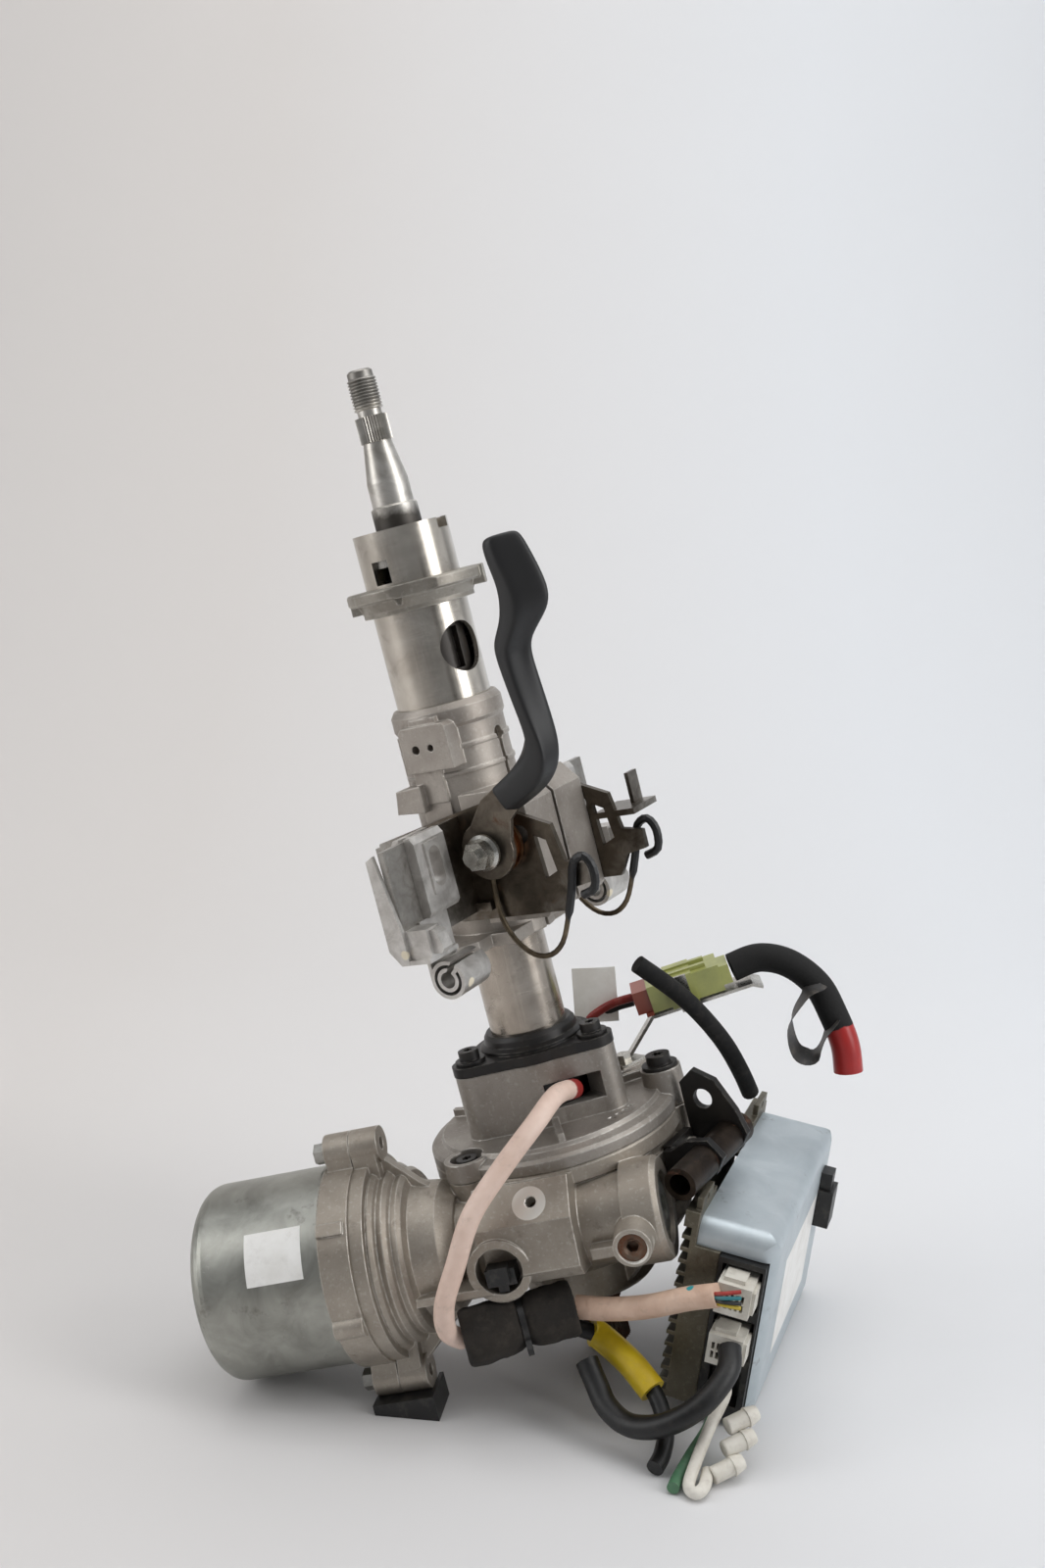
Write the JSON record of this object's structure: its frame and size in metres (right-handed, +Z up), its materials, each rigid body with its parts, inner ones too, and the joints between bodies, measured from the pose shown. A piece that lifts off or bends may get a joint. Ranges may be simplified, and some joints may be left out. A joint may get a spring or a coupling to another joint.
{
  "type": "power assisted steering column",
  "caption": "Tilt and telescope steering column with worm gear assist motor, control unit, clamp lever, crash bracket and wiring.",
  "frame": {"origin": "bottom centre of the box around the assembly without its free cords, on the bench it stands on", "axes": "+Z up from the bench, steering shaft leaning towards -X; +X from the motor to the control unit; -Y is the side the picture was taken from"},
  "size_m": [0.3302, 0.2319, 0.4836],
  "materials": {
    "shaft_steel": "turned, darkened",
    "bright_tube": "turned",
    "cast_aluminium": "as cast",
    "steel_tube": "satin",
    "black_steel": "satin black",
    "bearing_steel": "ground",
    "bracket_steel": "greasy steel",
    "brown_steel": "greased",
    "spring_steel": "dark",
    "zinc_screws": "zinc plated",
    "can_steel": "zinc plated",
    "cover_steel": "zinc plated",
    "base_aluminium": "as cast",
    "motor_iron": "laminated",
    "gear_plastic": "moulded",
    "board": "coated",
    "black_plastic": "moulded",
    "white_plastic": "moulded",
    "yellow_plastic": "moulded",
    "black_rubber": "matte",
    "foam": "matte",
    "black_cable": "taped",
    "pale_sleeve": "woven sleeve",
    "wire_plastic": "smooth"
  },
  "bodies": {
    "column": {"outer_jacket": "cast_aluminium", "lower_tube": "steel_tube", "column_flange": "black_steel", "flange_bolts": "black_steel", "sensor_cover": "cast_aluminium", "cover_bolts": "black_steel", "torque_sensor": "board", "gear_housing": "cast_aluminium", "output_bearings": "bearing_steel", "worm_bearings": "bearing_steel", "adjuster_plug": "brown_steel", "worm_end_cap": "cast_aluminium", "motor_flange": "cast_aluminium", "motor_can": "can_steel", "motor_stator": "motor_iron", "motor_screws": "zinc_screws", "motor_grommet": "black_rubber", "lower_bracket": "black_steel", "bracket_bolts": "black_steel", "pivot_tube": "black_steel", "unit_base": "base_aluminium", "unit_cover": "cover_steel", "unit_board": "board", "unit_header": "black_plastic", "unit_plugs": "white_plastic", "side_plug": "black_plastic", "power_connector": "yellow_plastic", "connector_bracket": "steel_tube", "harness_clip": "black_plastic", "clamp_bolt": "steel_tube", "fixed_cam": "brown_steel", "foam_wrap": "foam", "cable_tie": "black_plastic", "sensor_cable": "pale_sleeve", "unit_sleeve": "pale_sleeve", "loop_cable": "black_cable", "motor_lead": "black_cable", "loose_wires": "wire_plastic", "power_lead": "wire_plastic", "taped_lead": "black_cable", "control_lead": "black_cable"},
    "upper_column": {"inner_tube": "bright_tube", "switch_ring": "cast_aluminium", "upper_bearing": "bearing_steel"},
    "upper_turn": {"upper_shaft": "shaft_steel", "lock_collar": "shaft_steel"},
    "output_turn": {"lower_shaft": "shaft_steel", "torsion_bar": "shaft_steel", "output_shaft": "shaft_steel", "wheel_hub": "shaft_steel", "wheel_rim": "gear_plastic"},
    "worm": {"worm_shaft": "shaft_steel", "motor_rotor": "motor_iron"},
    "bracket": {"tilt_bracket": "bracket_steel", "mount_capsules": "cast_aluminium", "energy_strips": "bracket_steel", "tilt_springs": "spring_steel"},
    "lever": {"lever_cam": "brown_steel", "lever_plate": "spring_steel", "lever_grip": "black_rubber"}
  },
  "joints": [
    {"name": "telescope", "type": "slide", "parent": "column", "child": "upper_column", "axis": [-0.245, 0.0653, 0.9673], "range_m": [-0.03, 0.01]},
    {"name": "wheel_turn", "type": "hinge", "parent": "upper_column", "child": "upper_turn", "pos_m": [0.0199, 0.00272, 0.08576], "axis": [-0.245, 0.0653, 0.9673], "continuous": true},
    {"name": "output_spin", "type": "hinge", "parent": "column", "child": "output_turn", "pos_m": [0.0199, 0.00272, 0.08576], "axis": [-0.245, 0.0653, 0.9673], "continuous": true},
    {"name": "worm_spin", "type": "hinge", "parent": "column", "child": "worm", "pos_m": [0.01156, -0.04859, 0.08711], "axis": [0.9562, -0.1487, 0.2522], "continuous": true},
    {"name": "tilt", "type": "hinge", "parent": "column", "child": "bracket", "pos_m": [0.08531, -0.03855, 0.11855], "axis": [-0.5068, -0.8592, -0.0704], "range_deg": [-1, 4]},
    {"name": "lever_swing", "type": "hinge", "parent": "column", "child": "lever", "pos_m": [0.00093, -0.00113, 0.26936], "axis": [0.5068, 0.8592, 0.0704], "range_deg": [0, 60]}
  ],
  "couplings": [
    {"joint": "wheel_turn", "follows": "worm_spin", "ratio": -0.04878},
    {"joint": "output_spin", "follows": "worm_spin", "ratio": -0.04878}
  ]
}
